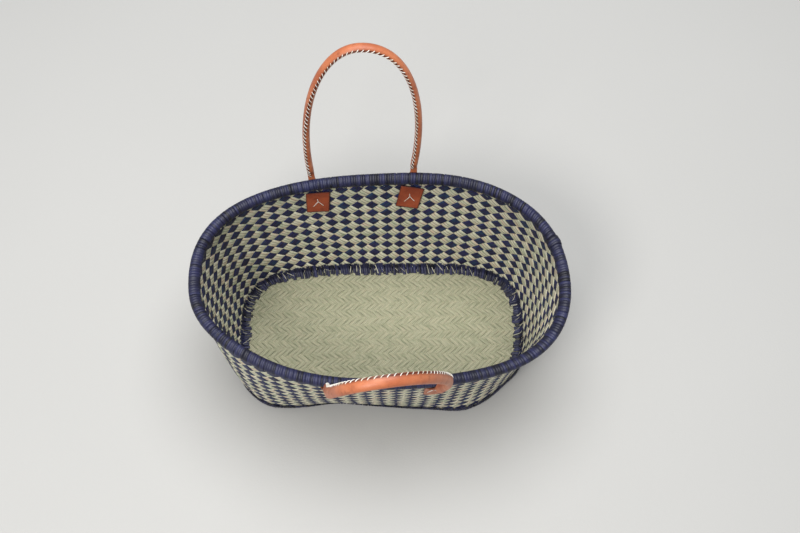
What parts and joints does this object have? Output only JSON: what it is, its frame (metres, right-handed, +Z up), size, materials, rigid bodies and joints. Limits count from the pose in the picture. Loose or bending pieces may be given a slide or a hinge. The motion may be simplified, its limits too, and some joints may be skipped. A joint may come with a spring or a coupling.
{
  "type": "woven shopping basket",
  "caption": "Oval plaited palm basket with a raffia-wrapped rim, a sewn-in floor mat and laced leather handles that tilt at their necks.",
  "frame": {"origin": "middle of the floor mat's underside, on the surface that the basket stands on", "axes": "+Z up, +X along the basket's length, +Y towards the rear handle, -Y towards the front handle"},
  "size_m": [0.5802, 0.5154, 0.4867],
  "materials": {
    "plaited_palm": "matt dry palm leaf",
    "floor_palm": "matt dry palm leaf",
    "indigo_raffia": "dull sheen",
    "fibre_core": "matt fibre",
    "tan_leather": "satin",
    "red_leather": "satin",
    "waxed_thread": "waxed"
  },
  "bodies": {
    "basket": {"floor_mat": "floor_palm", "base_seam": "indigo_raffia", "wall_weave": "plaited_palm", "rim_core": "fibre_core", "rim_wrap": "indigo_raffia", "rear_left_tongue": "tan_leather", "rear_left_patch": "red_leather", "rear_left_stitch": "waxed_thread", "rear_right_tongue": "tan_leather", "rear_right_patch": "red_leather", "rear_right_stitch": "waxed_thread", "front_left_tongue": "tan_leather", "front_left_patch": "red_leather", "front_left_stitch": "waxed_thread", "front_right_tongue": "tan_leather", "front_right_patch": "red_leather", "front_right_stitch": "waxed_thread"},
    "rear_handle": {"rear_handle_sleeve": "tan_leather", "rear_handle_core": "fibre_core", "rear_handle_lacing": "waxed_thread"},
    "front_handle": {"front_handle_sleeve": "tan_leather", "front_handle_core": "fibre_core", "front_handle_lacing": "waxed_thread"}
  },
  "joints": [
    {"name": "rear_handle_tilt", "type": "hinge", "parent": "basket", "child": "rear_handle", "pos_m": [-0.025, 0.18291, 0.231], "axis": [0.999, 0.0438, 0], "range_deg": [-129, 53.7]},
    {"name": "front_handle_tilt", "type": "hinge", "parent": "basket", "child": "front_handle", "pos_m": [0.003, -0.18359, 0.231], "axis": [1, 0.0052, 0], "range_deg": [-62.2, 121]}
  ]
}
